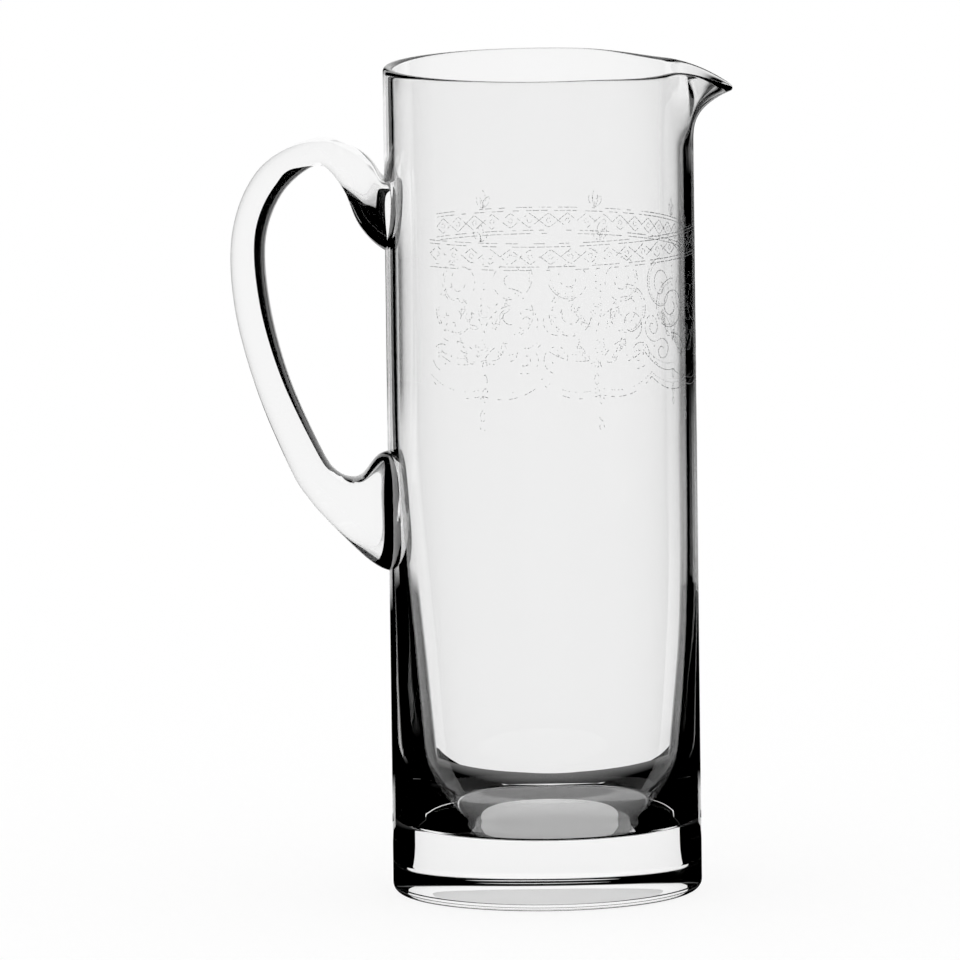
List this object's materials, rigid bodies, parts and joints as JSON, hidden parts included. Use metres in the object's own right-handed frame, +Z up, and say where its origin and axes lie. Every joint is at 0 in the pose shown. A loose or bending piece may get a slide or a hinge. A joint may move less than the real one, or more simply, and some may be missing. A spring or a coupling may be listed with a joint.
{
  "type": "cocktail pitcher",
  "caption": "Tall clear glass pitcher with a straight body, thick heavy base, pinched pouring lip and an ear-shaped glass handle fused to its side.",
  "frame": {"origin": "centre of the flat base, on the axis of the straight wall", "axes": "+Z up along the axis of the wall, +X towards the pouring lip, the handle on -X"},
  "size_m": [0.1513, 0.093, 0.25],
  "materials": {
    "clear_glass": "clear, fire-polished"
  },
  "bodies": {
    "root": {"vessel": "clear_glass", "handle": "clear_glass"}
  },
  "joints": []
}
